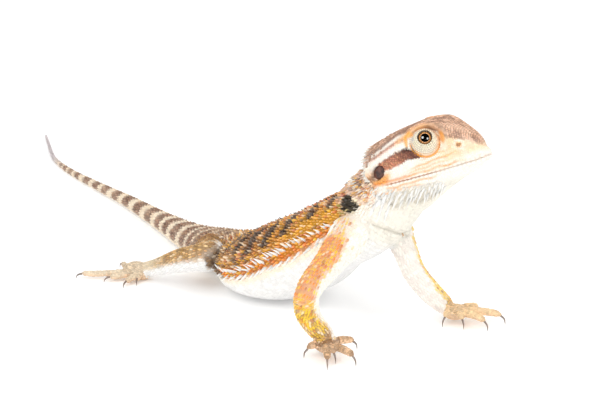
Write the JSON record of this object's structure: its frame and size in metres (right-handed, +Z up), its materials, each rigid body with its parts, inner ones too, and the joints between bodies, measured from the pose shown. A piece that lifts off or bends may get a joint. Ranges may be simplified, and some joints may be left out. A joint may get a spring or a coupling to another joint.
{
  "type": "bearded dragon lizard model",
  "caption": "Life-size still model of a young bearded dragon at rest, chest and head raised on its forelegs, spiny beard and flanks, long banded tail.",
  "frame": {"origin": "middle of the footprint, on the floor", "axes": "+Z up, +X forwards along the trunk towards the head, +Y to the animal's left"},
  "size_m": [0.266, 0.1002, 0.0647],
  "materials": {
    "head_skin": "matt, bumpy scales in tan and orange",
    "throat_skin": "matt white scales and soft spines",
    "back_skin": "matt keeled scales, orange and tan with dark bars",
    "tail_skin": "matt keeled scales, banded brown and cream",
    "leg_skin": "matt keeled scales, yellow and orange",
    "foot_skin": "matt small scales, khaki tan",
    "eye": "wet gloss, gold iris and black pupil",
    "ear_drum": "smooth, slightly shiny membrane",
    "claw": "satin dark horn"
  },
  "bodies": {
    "root": {"ear_drum_left": "ear_drum", "ear_drum_right": "ear_drum", "eye_left": "eye", "eye_right": "eye", "head": "head_skin", "left_foot": "foot_skin", "left_foot_claw_1": "claw", "left_foot_claw_2": "claw", "left_foot_claw_3": "claw", "left_foot_claw_4": "claw", "left_foot_claw_5": "claw", "left_forearm": "leg_skin", "left_hand": "foot_skin", "left_hand_claw_1": "claw", "left_hand_claw_2": "claw", "left_hand_claw_3": "claw", "left_hand_claw_4": "claw", "left_hand_claw_5": "claw", "left_shank": "leg_skin", "left_thigh": "leg_skin", "left_upper_arm": "leg_skin", "lower_jaw": "throat_skin", "neck": "throat_skin", "right_foot": "foot_skin", "right_foot_claw_1": "claw", "right_foot_claw_2": "claw", "right_foot_claw_3": "claw", "right_foot_claw_4": "claw", "right_foot_claw_5": "claw", "right_forearm": "leg_skin", "right_hand": "foot_skin", "right_hand_claw_1": "claw", "right_hand_claw_2": "claw", "right_hand_claw_3": "claw", "right_hand_claw_4": "claw", "right_hand_claw_5": "claw", "right_shank": "leg_skin", "right_thigh": "leg_skin", "right_upper_arm": "leg_skin", "tail_base": "tail_skin", "tail_end": "tail_skin", "tail_middle": "tail_skin", "torso": "back_skin"}
  },
  "joints": []
}
